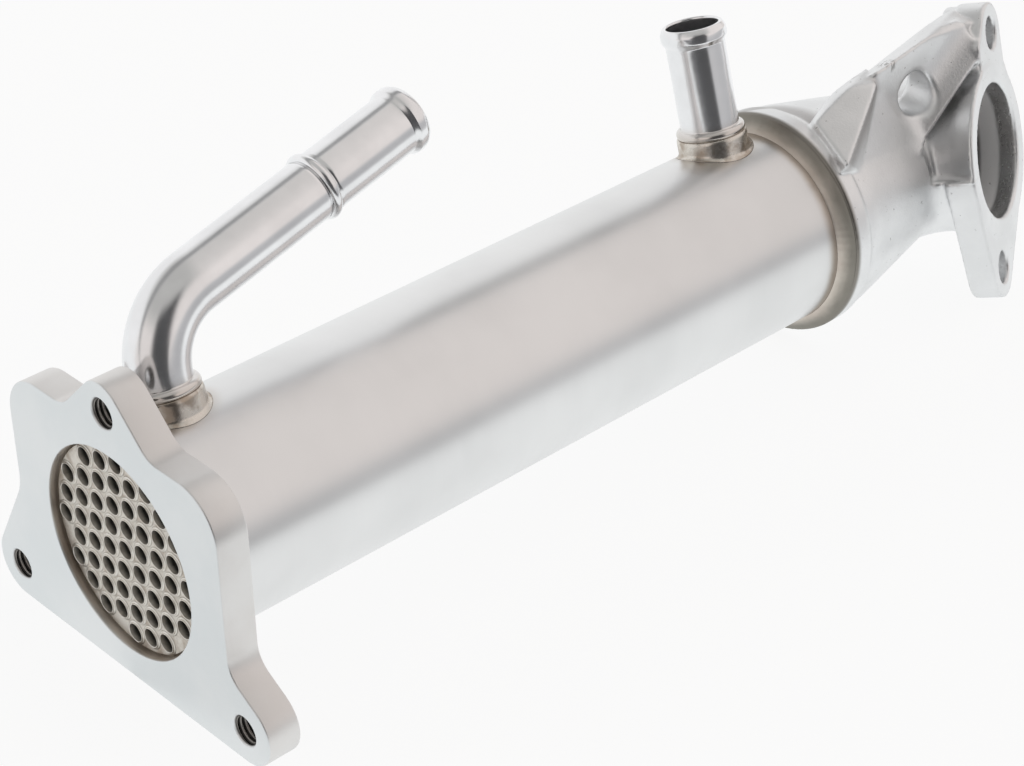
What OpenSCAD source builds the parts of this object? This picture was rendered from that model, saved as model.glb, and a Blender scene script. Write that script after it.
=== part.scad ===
// Shell-and-tube exhaust gas cooler: hot gas runs through a bundle of thin tubes, coolant round them.
// The origin is the centre of the inlet gasket face. +X runs along the shell, +Z is up.

/* [Shell] */
// Outer diameter of the shell tube
shell_d = 55; // [54:0.5:58]
// Wall of the shell tube
shell_wall = 1; // [0.8:0.1:1.4]
// Distance from the inlet gasket face to the far end of the shell
shell_end = 226.5; // [222:0.5:240]

/* [Inlet flange] */
// Thickness of the inlet flange
inlet_t = 9; // [8:0.5:12]
// How far the lip of the gas opening stands in front of the shell's outside
inlet_lip = 0.2; // [0.1:0.1:0.6]
// Depth of the lip from the gasket face
inlet_lip_depth = 3; // [2.5:0.1:4]
// Height of the upper bolt above the shell axis
top_bolt_z = 38.4; // [37:0.1:42]
// Distance of each lower bolt to the side of the shell axis
low_bolt_y = 44; // [42:0.5:48]
// Distance of the lower bolts below the shell axis
low_bolt_z = 26.1; // [24:0.1:30]
// Radius of the upper lobe
top_lobe_r = 8; // [7:0.1:9]
// Radius of the lower lobes, which end in the flat edge
low_lobe_r = 9; // [8.5:0.1:10]
// Half the width between the upright sides
inlet_half_w = 39.5; // [38:0.5:41]
// Height of the shoulders above the shell axis
shoulder_z = 33.3; // [32:0.1:35]
// Rounding of the shoulders
shoulder_r = 12; // [8:0.5:14]
// Hollow rounding between a shoulder and the upper lobe
lobe_hollow_r = 8; // [6:0.5:9]
// Sideways place of the hollows beside the upper lobe
lobe_hollow_y = 19.7; // [19:0.1:21]
// Hollow rounding above the left lower lobe
left_hollow_r = 15; // [12:0.5:18]
// Height at which the left side starts to spread
left_hollow_z = 3.7; // [2:0.1:5]
// Hollow rounding above the right lower lobe
right_hollow_r = 8; // [7:0.5:8.5]
// Distance below the axis at which the right side starts to spread
right_hollow_drop = 8.2; // [7:0.1:8.4]
// Tapping drill of the flange bolts
tap_d = 6.8; // [6.6:0.1:7.2]
// Mouth of the chamfer on a tapped hole
tap_mouth_d = 8.4; // [7.8:0.1:9]

/* [Tube bundle] */
// Metal left between neighbouring tubes in the headers
tube_bridge = 1.37; // [1.2:0.01:1.6]
// Wall of a gas tube
tube_wall = 0.4; // [0.3:0.05:0.6]
// Least space between the outer tubes and the shell
tube_margin = 0.15; // [0.1:0.05:0.2]
// Turn of the tube rows about the shell axis
tube_clock = 17; // [0:0.5:30]
// Thickness of the two headers that carry the tubes
header_t = 1.5; // [1:0.1:2]
// How far the tube ends stand proud of a header
tube_proud = 1.05; // [0.6:0.05:1.4]
// Thickness of a baffle
baffle_t = 1; // [0.8:0.1:1.5]
// Place of the first baffle along the shell
baffle_1_x = 80; // [50:1:100]
// Place of the second baffle along the shell
baffle_2_x = 150; // [110:1:180]
// Space between a baffle and the shell
baffle_gap = 0.3; // [0.2:0.05:0.5]

/* [Coolant connections] */
// Turn of the connections and the outlet about the shell axis
core_clock = 15.5; // [10:0.5:20]
// Place of the bent pipe along the shell
bent_x = 22.4; // [21:0.1:30]
// Place of the straight stub along the shell
stub_x = 206; // [195:0.5:208]
// Outer diameter of the coolant tube
hose_d = 16; // [14:0.5:17]
// Wall of the coolant tube
hose_wall = 1; // [0.8:0.1:1.4]
// Step from a coolant tube's bore down to the port in the shell
port_step = 0.3; // [0.2:0.1:0.8]
// Outer diameter of a boss on the shell
boss_d = 19.2; // [18.6:0.1:21]
// Height of a boss above the shell
boss_h = 3.7; // [3:0.1:6]
// Depth of the socket that holds a coolant tube in its boss
boss_socket = 2.9; // [2:0.1:3.2]
// Diameter of the rolled bead that rests on a boss
seat_bead_d = 18.8; // [18.4:0.1:20]
// Diameter of the bead that stops the hose
stop_bead_d = 18; // [17.8:0.1:19]
// Rounding of the rolled beads
bead_round = 1.4; // [1.3:0.1:2]
// Diameter of the bead that holds the hose on
end_bead_d = 17.9; // [17.6:0.1:18.5]
// Length of the hose bead from the rim to the plain tube
end_bead_len = 5; // [4:0.1:6]
// Height of the straight stub above the shell axis
stub_top = 62.2; // [55:0.1:75]
// Straight length between the bent pipe's first bead and its bend
bend_lead = 0.2; // [0.1:0.1:10]
// Radius of the bend at the middle of the tube
bend_r = 19.4; // [17:0.1:30]
// Rise of the bent pipe's straight run over the shell axis
run_rise = 13.4; // [0:0.1:40]
// Length of the bent pipe's straight run
run_len = 72.3; // [60:0.1:90]
// Place of the hose stop along the straight run
stop_at = 40.1; // [30:0.1:50]

/* [Outlet elbow] */
// Angle between the shell axis and the outlet axis
elbow_angle = 67; // [65:0.5:69]
// Distance from the inlet gasket face to the corner where the two axes meet
corner_x = 278.4; // [278:0.1:280]
// Distance from that corner to the outlet gasket face
outlet_len = 28.5; // [28:0.1:30]
// Bore of the outlet
outlet_bore_d = 38.3; // [36:0.1:39]
// Length of the machined bore behind the outlet face
outlet_bore_len = 13; // [10:0.5:13.5]
// Wall of the neck behind the outlet flange
neck_wall = 2.5; // [2.4:0.1:3]
// Outer diameter of the collar that takes the shell
collar_d = 63.6; // [63:0.2:65]
// Length of the collar
collar_len = 8; // [7.5:0.5:8.5]
// Depth of the shell in the collar
socket_depth = 5; // [4:0.5:6]
// Step from the collar down to the cone
collar_step = 0.3; // [0.1:0.1:0.6]
// Narrowing of the cone's radius along its length
cone_taper = 0.22; // [0.2:0.01:0.22]
// Width of the step in the cone that the shell's end meets
shell_stop = 1.5; // [1.2:0.1:2]
// Leg of the weld between shell and collar
weld_leg = 3.6; // [2:0.1:3.8]

/* [Outlet flange] */
// Thickness of the outlet flange
outlet_t = 8.5; // [8:0.5:10]
// Distance of each outlet bolt from the centre of the bore
outlet_bolt_r = 33.3; // [33:0.1:36]
// Lean of the bolt line from the upright of the outlet
outlet_bolt_lean = 15.5; // [12:0.5:18]
// Diameter of the outlet bolt holes
outlet_hole_d = 9.3; // [8:0.1:10]
// Radius of the outlet flange's lobes
outlet_lobe_r = 8.7; // [8:0.1:9.5]
// Radius of the outlet flange round the bore
outlet_ring_r = 25; // [24:0.1:26]
// Hollow rounding between the ring and the upper lobe
outlet_notch_r = 3.5; // [3:0.1:4]
// Place of that hollow to the side of the bore
outlet_notch_e = 21; // [20.5:0.1:22]
// Place of that hollow above the bore
outlet_notch_z = 22.3; // [21.5:0.1:23]

/* [Web] */
// Diameter of the hole through the web
web_hole_d = 12.8; // [8:0.1:13]
// Place of that hole along the shell
web_hole_x = 265.2; // [263:0.1:267]
// Height of that hole above the shell axis
web_hole_z = 29.3; // [29:0.1:31]
// Distance of the web's near face from the shell axis
web_near_y = 12.5; // [12:0.1:14]
// Thickness of the web
web_t = 7.5; // [6:0.1:8]
// Height of the web's near edge above the shell axis
web_top = 44.3; // [43:0.1:45]
// Fall of the web's top from its near edge to its far edge
web_fall = 0.8; // [0.5:0.1:3]
// Rounding of the web's edges
web_round = 1.5; // [1:0.1:2]
// Rounding of the crests of wedge and rib
crest_round = 0.8; // [0.5:0.1:0.8]

/* [Hidden] */
$fn = 96;
// Space left for filler between brazed pieces
joint_gap = 0.05;
// Overrun of cuts through a face
over = 1;
// Overrun of rounded corners past their straight sides
blend = 0.01;
rib_fn = 16;

shell_r = shell_d / 2;
shell_in_r = shell_r - shell_wall;
seat_r = shell_r + joint_gap;
header_x = inlet_lip_depth + joint_gap;
shell_start = header_x + header_t + joint_gap;
tube_start = header_x - tube_proud;
tube_end = shell_end;
outlet_header_x = tube_end - tube_proud - header_t;

// Distance from the middle of the bundle to its outermost tubes, in pitches
field_span = 3.615;
tube_pitch = (shell_in_r - tube_margin + tube_bridge / 2) / (field_span + 0.5);
tube_r = (tube_pitch - tube_bridge) / 2;
row_step = tube_pitch * sqrt(3) / 2;
row_count = 9;
rows_held = 2.5;

hose_r = hose_d / 2;
hose_in_r = hose_r - hose_wall;
port_r = hose_in_r - port_step;
boss_top = shell_r + boss_h;
socket_floor = boss_top - boss_socket;
seat_bead_h = boss_top + joint_gap + bead_round;
bend_start = seat_bead_h + bead_round + bend_lead;
bend_turn = 90 - run_rise;
// Swell of the tube in its bend
bend_swell = 0.02;
// Reach of the straight lengths into the bend
bend_lap = 0.1;

collar_start = shell_end - socket_depth;
collar_end = collar_start + collar_len;
collar_r = collar_d / 2;
cone_r = collar_r - collar_step;
cone_lap = 0.5;
// Distance by which the cone stops short of the corner
cone_stop = 2;
cone_len = corner_x - collar_end - cone_stop;
outlet_bore_r = outlet_bore_d / 2;
neck_r = outlet_bore_r + neck_wall;
// The ball that closes the corner stands a little proud of neck and bore
ball_over = 0.6;

lobe_e = outlet_bolt_r * sin(outlet_bolt_lean);
lobe_z = outlet_bolt_r * cos(outlet_bolt_lean);
// Height of the boss behind the upper lobe, and its step in from the lobe's edge
lobe_boss = 4;
lobe_step = 0.6;
// Radius of the cast way behind the machined bore
way_end = outlet_bore_r - ball_over;
// Height down to which web and wedge are sunk in the cone
web_root = 22;
// Lines of the web's top at its near and far face, as [distance past the hole, height over the web's top]
web_near_line = [[-15, -4], [8, 0], [23, -1]];
web_far_line = [[-22, -9], [-10, -7], [13, -web_fall], [23, 1 - web_fall]];
// Corners of the wedge, as [distance past the collar, distance in front of the axis, height over the collar]
wedge_crest = [[1, 5.3, -2.3], [1, 18.3, -8], [8.5, 5.5, 1.4], [18, 6.5, 4.2], [13.5, 11, 3.7],
               [19.5, 12.5, 4.9], [6, 18.5, -8.8]];
wedge_base = [[7, 5], [21, 6], [21, 12]];
// Corners of foot and rib, as [distance past the hole, distance in front of the web, height over the hole]
foot_corners = [[-17, -crest_round, -0.3], [-3, -crest_round, -6.3], [-20, 9, -12.8], [-5, 6.1, -14.5],
                [-17, -crest_round, -11.3], [0, -crest_round, -15.3]];
rib_corners = [[19.8, 5.7, 5.1], [-4, 6.3, -14.1], [21.8, -crest_round, 10.7], [2, -crest_round, -10.3],
               [24.8, -crest_round, 1.7], [2, -crest_round, -17.3]];

// Outline of arcs and tangents
// A corner is [x, y, radius, side], where side is 1 for a round corner and -1 for a hollow one.
function middle(c) = [c[0], c[1]];
function tangent_normal(a, b) =
    let (run = middle(b) - middle(a),
         u = run / norm(run),
         k = (b[3] * b[2] - a[3] * a[2]) / norm(run),
         m = sqrt(1 - k * k))
    [k * u[0] - m * u[1], k * u[1] + m * u[0]];
function touch(c, n) = middle(c) - c[3] * c[2] * n;
function belt_points(corners) =
    let (last = len(corners))
    [for (i = [0:last - 1])
        let (c = corners[i],
             before = corners[(i + last - 1) % last],
             after = corners[(i + 1) % last])
        each [touch(c, tangent_normal(before, c)), touch(c, tangent_normal(c, after))]];
function seen_before(corners, i) = len([for (j = [0:1:i - 1]) if (corners[j] == corners[i]) j]) > 0;

module belt(corners) {
    difference() {
        union() {
            polygon(belt_points(corners));
            for (i = [0:len(corners) - 1])
                if (corners[i][3] > 0 && !seen_before(corners, i))
                    translate(middle(corners[i])) circle(corners[i][2] + blend);
        }
        for (c = corners)
            if (c[3] < 0)
                translate(middle(c)) circle(c[2] + blend);
    }
}

// Places on the cooler
module along_x(x) {
    translate([x, 0, 0]) rotate([0, 90, 0]) children();
}

module facing_x(x) {
    translate([x, 0, 0]) rotate([90, 0, 90]) children();
}

module at_port(x) {
    translate([x, 0, 0]) rotate([-core_clock, 0, 0]) children();
}

module at_outlet(back = 0) {
    rotate([-core_clock, 0, 0])
        translate([corner_x, 0, 0]) rotate([0, 0, -elbow_angle])
            translate([outlet_len - back, 0, 0]) rotate([90, 0, 90]) children();
}

// Inlet flange
inlet_corners = [
    [low_bolt_y, -low_bolt_z, low_lobe_r, 1],
    [inlet_half_w + left_hollow_r, left_hollow_z, left_hollow_r, -1],
    [inlet_half_w - shoulder_r, shoulder_z - shoulder_r, shoulder_r, 1],
    [lobe_hollow_y, shoulder_z + lobe_hollow_r, lobe_hollow_r, -1],
    [0, top_bolt_z, top_lobe_r, 1],
    [-lobe_hollow_y, shoulder_z + lobe_hollow_r, lobe_hollow_r, -1],
    [shoulder_r - inlet_half_w, shoulder_z - shoulder_r, shoulder_r, 1],
    [-inlet_half_w - right_hollow_r, -right_hollow_drop, right_hollow_r, -1],
    [-low_bolt_y, -low_bolt_z, low_lobe_r, 1]];
inlet_bolts = [[0, top_bolt_z], [low_bolt_y, -low_bolt_z], [-low_bolt_y, -low_bolt_z]];

module tapped_hole(depth) {
    chamfer = (tap_mouth_d - tap_d) / 2;
    translate([0, 0, -over]) cylinder(d = tap_d, h = depth + 2 * over);
    translate([0, 0, -over]) cylinder(d1 = tap_mouth_d + 2 * over, d2 = tap_d, h = chamfer + over);
    translate([0, 0, depth - chamfer])
        cylinder(d1 = tap_d, d2 = tap_mouth_d + 2 * over, h = chamfer + over);
}

module inlet_flange() {
    color([0.86, 0.88, 0.89])
    facing_x(0)
    difference() {
        linear_extrude(inlet_t) belt(inlet_corners);
        translate([0, 0, -over]) cylinder(r = shell_r - inlet_lip, h = inlet_lip_depth + 2 * over);
        translate([0, 0, inlet_lip_depth]) cylinder(r = seat_r, h = inlet_t);
        for (bolt = inlet_bolts)
            translate(bolt) tapped_hole(inlet_t);
    }
}

// Tube bundle
// Row r lies r - 5 steps from the middle; its tubes keep inside the shell.
function row_height(r) = (r - (row_count + 1) / 2) * row_step;
function row_tubes(r) =
    let (shift = (r % 2 == 1) ? 0 : 0.5)
    [for (i = [-5:5])
        let (p = [(i + shift) * tube_pitch, row_height(r)])
        if (norm(p) <= field_span * tube_pitch) p];

module row_of_tubes(r, x, length, radius) {
    rotate([-tube_clock, 0, 0])
        facing_x(x)
            for (p = row_tubes(r))
                translate(p) cylinder(r = radius, h = length);
}

module tube_holes(x, thickness) {
    for (r = [1:row_count])
        row_of_tubes(r, x - over, thickness + 2 * over, tube_r + joint_gap);
}

module gas_tube_row(r) {
    length = tube_end - tube_start;
    color([0.72, 0.7, 0.66])
    rotate([-tube_clock, 0, 0])
        facing_x(tube_start)
            for (p = row_tubes(r))
                translate(p)
                    difference() {
                        cylinder(r = tube_r, h = length);
                        translate([0, 0, -over]) cylinder(r = tube_r - tube_wall, h = length + 2 * over);
                    }
}

module inlet_header() {
    color([0.62, 0.58, 0.53])
    difference() {
        along_x(header_x) cylinder(r = shell_r, h = header_t);
        tube_holes(header_x, header_t);
    }
}

module outlet_header() {
    color([0.62, 0.58, 0.53])
    difference() {
        along_x(outlet_header_x) cylinder(r = shell_in_r - joint_gap, h = header_t);
        tube_holes(outlet_header_x, header_t);
    }
}

// A baffle leaves a window past its outer rows, on the upper or the lower side.
module baffle(x, side) {
    window = rows_held * row_step;
    color([0.7, 0.7, 0.7])
    difference() {
        along_x(x) cylinder(r = shell_in_r - baffle_gap, h = baffle_t);
        tube_holes(x, baffle_t);
        rotate([-tube_clock, 0, 0])
            translate([x - over, -shell_r, side > 0 ? window : -window - shell_d])
                cube([baffle_t + 2 * over, shell_d, shell_d]);
    }
}

// Shell
module shell() {
    color([0.8, 0.8, 0.8])
    difference() {
        along_x(shell_start) cylinder(r = shell_r, h = shell_end - shell_start);
        along_x(shell_start - over) cylinder(r = shell_in_r, h = shell_end - shell_start + 2 * over);
        for (x = [bent_x, stub_x])
            at_port(x) cylinder(r = port_r, h = shell_d);
    }
}

// Coolant connections
module boss(x) {
    color([0.62, 0.55, 0.46])
    difference() {
        at_port(x) cylinder(d = boss_d, h = boss_top);
        along_x(x - boss_d) cylinder(r = seat_r, h = 2 * boss_d);
        at_port(x) translate([0, 0, socket_floor]) cylinder(r = hose_r + joint_gap, h = boss_socket + over);
        at_port(x) cylinder(r = port_r, h = boss_top);
    }
}

// Half sections are drawn as [radius, height] and turned about the tube's own axis.
module rolled_bead(d, h) {
    intersection() {
        translate([d / 2 - bead_round, h]) circle(bead_round);
        translate([0, h - bead_round]) square([d, 2 * bead_round]);
    }
}

module hose_end(top) {
    crest = end_bead_d / 2;
    slope = end_bead_len / 4;
    rim = hose_r + (crest - hose_r) / 4;
    polygon([
        [0, top - end_bead_len - over],
        [hose_r, top - end_bead_len - over],
        [hose_r, top - end_bead_len],
        [crest, top - end_bead_len + slope],
        [crest, top - 1.2 * slope],
        [rim, top],
        [0, top]]);
}

module tube_root(top) {
    polygon([
        [0, socket_floor + joint_gap],
        [hose_r, socket_floor + joint_gap],
        [hose_r, top],
        [0, top]]);
    rolled_bead(seat_bead_d, seat_bead_h);
}

module straight_coolant_stub() {
    color([0.84, 0.84, 0.85])
    at_port(stub_x)
    difference() {
        rotate_extrude() {
            tube_root(stub_top - end_bead_len);
            hose_end(stub_top);
        }
        cylinder(r = hose_in_r, h = stub_top + over);
    }
}

module bent_run_place() {
    translate([bend_r * (1 - cos(bend_turn)), 0, bend_start + bend_r * sin(bend_turn)])
        rotate([0, bend_turn, 0]) translate([0, 0, -bend_lap]) children();
}

module pipe_bend(r) {
    translate([bend_r, 0, bend_start]) rotate([90, 0, 0]) rotate([0, 0, 180 - bend_turn])
        rotate_extrude(angle = bend_turn) translate([bend_r, 0]) circle(r);
}

module bent_coolant_pipe() {
    color([0.84, 0.84, 0.85])
    at_port(bent_x)
    difference() {
        union() {
            rotate_extrude() tube_root(bend_start + bend_lap);
            pipe_bend(hose_r + bend_swell);
            bent_run_place()
                rotate_extrude() {
                    square([hose_r, run_len - end_bead_len]);
                    rolled_bead(stop_bead_d, stop_at);
                    hose_end(run_len);
                }
        }
        union() {
            cylinder(r = hose_in_r, h = bend_start + bend_lap);
            pipe_bend(hose_in_r - bend_swell);
            bent_run_place() cylinder(r = hose_in_r, h = run_len + over);
        }
    }
}

// Outlet elbow
outlet_corners = [
    [lobe_e, lobe_z, outlet_lobe_r, 1],
    [0, 0, outlet_ring_r, 1],
    [-lobe_e, -lobe_z, outlet_lobe_r, 1],
    [0, 0, outlet_ring_r, 1],
    [outlet_notch_e, outlet_notch_z, outlet_notch_r, -1]];

module rib(points, r) {
    hull()
        for (p = points)
            translate(p) sphere(r, $fn = rib_fn);
}

function past_hole(p) = [web_hole_x + p[0], -web_near_y - p[1], web_hole_z + p[2]];

// The web stands on the cone between the collar and the upper lobe; its top falls away from the near side.
module web() {
    near = web_round - web_near_y;
    far = web_t - web_near_y - web_round;
    top = web_top - web_round;
    rib(concat(
        [for (p = web_near_line) [web_hole_x + p[0], near, top + p[1]]],
        [for (p = web_near_line) [web_hole_x + p[0], near, web_root]],
        [for (p = web_far_line) [web_hole_x + p[0], far, top + p[1]]],
        [for (p = web_far_line) [web_hole_x + p[0], far, web_root]]), web_round);
}

// The wedge fills the corner between the collar's rim and the web.
module wedge() {
    rib(concat(
        [for (p = wedge_crest) [collar_end + p[0], -p[1], collar_r + p[2]]],
        [for (p = wedge_base) [collar_end + p[0], -p[1], web_root]]), crest_round);
}

// The foot slopes from the web's near face down to the flank of the cone.
module foot() {
    rib([for (p = foot_corners) past_hole(p)], crest_round);
}

// The rib runs from the side of the upper lobe down to the flank of the cone.
module lobe_rib() {
    rib([for (p = rib_corners) past_hole(p)], crest_round);
}

module elbow_body() {
    along_x(collar_start) cylinder(r = collar_r, h = collar_len);
    along_x(collar_end - cone_lap) cylinder(r1 = cone_r, r2 = cone_r - cone_taper * cone_len, h = cone_len);
    translate([corner_x, 0, 0]) sphere(neck_r + ball_over);
    at_outlet(outlet_len) cylinder(r = neck_r, h = outlet_len - outlet_t / 2);
    at_outlet(outlet_t) linear_extrude(outlet_t) belt(outlet_corners);
    at_outlet(outlet_t + lobe_boss) translate([lobe_e, lobe_z, 0])
        cylinder(r = outlet_lobe_r - lobe_step, h = lobe_boss + outlet_t / 2);
}

module gas_way() {
    way_r = shell_r - shell_stop;
    along_x(collar_start - over) cylinder(r = seat_r, h = socket_depth + joint_gap + over);
    along_x(shell_end) cylinder(r1 = way_r, r2 = way_end, h = corner_x - shell_end);
    translate([corner_x, 0, 0]) sphere(outlet_bore_r + ball_over / 2);
    at_outlet(outlet_len) cylinder(r = way_end, h = outlet_len);
    at_outlet(outlet_bore_len) cylinder(r = outlet_bore_r, h = outlet_bore_len + over);
}

module outlet_elbow() {
    color([0.83, 0.84, 0.84])
    difference() {
        union() {
            elbow_body();
            web();
            wedge();
            foot();
            lobe_rib();
        }
        gas_way();
        for (side = [-1, 1])
            at_outlet(outlet_t + lobe_boss + over) translate([side * lobe_e, side * lobe_z, 0])
                cylinder(d = outlet_hole_d, h = outlet_t + lobe_boss + 2 * over);
        translate([web_hole_x, web_t - web_near_y + over, web_hole_z]) rotate([90, 0, 0])
            cylinder(d = web_hole_d, h = 3 * web_near_y);
    }
}

// A slightly domed fillet weld in the corner of shell and collar
module outlet_weld() {
    color([0.6, 0.53, 0.44])
    along_x(collar_start - joint_gap)
        rotate_extrude()
            translate([seat_r, 0])
                polygon(weld_leg * [[0, 0], [1, 0], [0.93, -0.32], [0.66, -0.7], [0.28, -0.95], [0, -1]]);
}

inlet_flange();
inlet_header();
shell();
outlet_header();
baffle(baffle_1_x, 1);  // baffle_1
baffle(baffle_2_x, -1);  // baffle_2
boss(bent_x);  // bent_pipe_boss
boss(stub_x);  // straight_stub_boss
bent_coolant_pipe();
straight_coolant_stub();
outlet_elbow();
outlet_weld();
for (i = [1:row_count])
    gas_tube_row(i);
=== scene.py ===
import bpy
import numpy as np
from mathutils import Matrix, Vector
from mathutils.geometry import tessellate_polygon


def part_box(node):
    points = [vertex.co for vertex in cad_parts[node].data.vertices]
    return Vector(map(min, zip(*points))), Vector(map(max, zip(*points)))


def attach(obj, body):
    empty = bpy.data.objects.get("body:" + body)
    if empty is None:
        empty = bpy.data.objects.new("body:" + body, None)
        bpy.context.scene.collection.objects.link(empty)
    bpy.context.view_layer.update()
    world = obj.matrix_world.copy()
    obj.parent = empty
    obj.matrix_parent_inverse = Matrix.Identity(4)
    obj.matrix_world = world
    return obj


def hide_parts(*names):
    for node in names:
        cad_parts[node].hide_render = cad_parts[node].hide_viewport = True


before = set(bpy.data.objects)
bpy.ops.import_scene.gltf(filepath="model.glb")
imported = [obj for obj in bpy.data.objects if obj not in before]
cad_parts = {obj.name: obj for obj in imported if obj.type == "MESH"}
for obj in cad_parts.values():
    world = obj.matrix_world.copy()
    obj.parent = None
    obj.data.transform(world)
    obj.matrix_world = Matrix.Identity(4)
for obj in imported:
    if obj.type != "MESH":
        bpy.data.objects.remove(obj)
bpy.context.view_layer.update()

# Inlet flange
# A thick steel plate, cut to three lobes, faced on its gasket side and tumbled until its edges are soft.
# Its three holes are tapped right through, and the shell and the tube sheet are brazed into its opening.
flange_thick = 9.0
flange_edge = 0.45
opening_r, seat_r, lip_depth, lip_edge, seat_edge = 27.3, 27.55, 3.0, 0.4, 0.3
tap_r, tap_root_r, tap_mouth_r, tap_pitch = 3.4, 3.95, 4.2, 1.25
flange_bolts = np.array([[0, 38.4], [44, -26.1], [-44, -26.1]])
flange_corners = np.array([
    [44, -26.1, 9, 1], [54.5, 3.7, 15, -1], [27.5, 21.3, 12, 1],
    [19.7, 41.3, 8, -1], [0, 38.4, 8, 1], [-19.7, 41.3, 8, -1],
    [-27.5, 21.3, 12, 1], [-47.5, -8.2, 8, -1], [-44, -26.1, 9, 1]])


def belt(corners, steps):
    """Outline of arcs and tangents. A corner is across, up, radius and side, 1 for a round corner, -1 for a hollow.

    The tangent from one corner to the next has the normal k u + sqrt(1 - k^2) v, where u points along the line
    of centres, v is u turned a quarter, and k is the change of signed radius over the distance. Each arc
    runs at its own radius from one tangent's normal to the next.
    """
    centre, side = corners[:, :2], corners[:, 3]
    run = np.roll(centre, -1, 0) - centre
    far = np.linalg.norm(run, axis=1, keepdims=True)
    u = run / far
    signed = corners[:, 2] * side
    k = (np.roll(signed, -1) - signed)[:, None] / far
    normal = k * u + np.sqrt(1 - k ** 2) * np.stack([-u[:, 1], u[:, 0]], 1)
    first, last = -side[:, None] * np.roll(normal, 1, 0), -side[:, None] * normal
    start = np.arctan2(first[:, 1], first[:, 0])
    sweep = ((np.arctan2(last[:, 1], last[:, 0]) - start) * side % (2 * np.pi)) * side
    angle = start[:, None] + sweep[:, None] * np.linspace(0, 1, steps)
    arc = corners[:, 2, None, None] * np.stack([np.cos(angle), np.sin(angle)], 2)
    return (centre[:, None] + arc).reshape(-1, 2)


def hole_ring(centre, radius, count):
    """Circle walked clockwise, so that its outward normal points into the hole."""
    angle = -2 * np.pi * np.arange(count) / count
    return centre + radius * np.stack([np.cos(angle), np.sin(angle)], 1)


def side_wall(outline, offset, depth):
    """Side profile carried round an outline: point i, step j lies at outline i + offset ij x normal i, depth ij.

    The normal is the outline's tangent turned clockwise.
    """
    along = np.roll(outline, -1, 0) - np.roll(outline, 1, 0)
    normal = np.stack([along[:, 1], -along[:, 0]], 1) / np.linalg.norm(along, axis=1, keepdims=True)
    shape = (len(outline), np.shape(depth)[-1])
    across = outline[:, None] + np.broadcast_to(offset, shape)[..., None] * normal[:, None]
    return np.concatenate([across, np.broadcast_to(depth, shape)[..., None]], 2)


def soft_edges(thick, edge, steps=6):
    """Offsets and depths of a straight side with a quarter round of radius edge at both faces."""
    turn = np.linspace(0, np.pi / 2, steps)
    inset, sink = edge * (np.sin(turn) - 1), edge * (1 - np.cos(turn))
    return np.concatenate([inset, inset[::-1]]), np.concatenate([sink, thick - sink[::-1]])


def quads(rows, columns, start=0, close_columns=False):
    """Faces of a grid whose rows close on themselves, as rows of four vertex numbers."""
    i, j = np.meshgrid(np.arange(rows), np.arange(columns - (not close_columns)), indexing="ij")
    i, j, i2, j2 = i.ravel(), j.ravel(), (i.ravel() + 1) % rows, (j.ravel() + 1) % columns
    return start + np.stack([i * columns + j, i2 * columns + j, i2 * columns + j2, i * columns + j2], 1)


def plate(walls):
    """Closes side walls, the outside one first, with two flat faces. Gives points, faces and which points are rims."""
    points = np.concatenate([w.reshape(-1, 3) for w in walls])
    starts = np.cumsum([0] + [w.shape[0] * w.shape[1] for w in walls])
    faces = [quads(w.shape[0], w.shape[1], s) for w, s in zip(walls, starts)]
    rim = np.zeros(len(points), bool)
    for column, turned in ((0, -1), (-1, 1)):
        number = np.concatenate([s + np.arange(w.shape[0]) * w.shape[1] + column % w.shape[1]
                                 for w, s in zip(walls, starts)])
        loops = [list(map(Vector, w[:, column].tolist())) for w in walls]
        face = number[np.array(tessellate_polygon(loops))]
        a, b, c = points[face[:, 0], :2], points[face[:, 1], :2], points[face[:, 2], :2]
        area = (b - a)[:, 0] * (c - a)[:, 1] - (b - a)[:, 1] * (c - a)[:, 0]
        face[area * turned < 0] = face[area * turned < 0][:, ::-1]
        faces.append(face)
        rim[number] = True
    return points, faces, rim


def piece(name, points, faces, finish, nodes, rim=None):
    """Puts millimetre points and faces into a mesh in metres, shaded smooth between rims, and ties it to the frame."""
    mesh = bpy.data.meshes.new(name)
    sizes = np.concatenate([np.full(len(f), f.shape[1]) for f in faces])
    corners = np.concatenate([f.ravel() for f in faces])
    mesh.vertices.add(len(points))
    mesh.vertices.foreach_set("co", (points * 0.001).astype(np.float32).ravel())
    mesh.loops.add(len(corners))
    mesh.loops.foreach_set("vertex_index", corners.astype(np.int32))
    mesh.polygons.add(len(sizes))
    mesh.polygons.foreach_set("loop_start", (np.cumsum(sizes) - sizes).astype(np.int32))
    mesh.polygons.foreach_set("use_smooth", np.ones(len(sizes), bool))
    mesh.update(calc_edges=True)
    mesh.validate()
    if rim is not None:
        ends = np.empty(len(mesh.edges) * 2, np.int32)
        mesh.edges.foreach_get("vertices", ends)
        sharp = mesh.attributes.new("sharp_edge", "BOOLEAN", "EDGE")
        sharp.data.foreach_set("value", rim[ends].reshape(-1, 2).all(1))
    thing = bpy.data.objects.new(name, mesh)
    bpy.context.scene.collection.objects.link(thing)
    mesh.materials.append(finish)
    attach(thing, "root")
    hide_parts(*nodes)
    return thing


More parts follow.
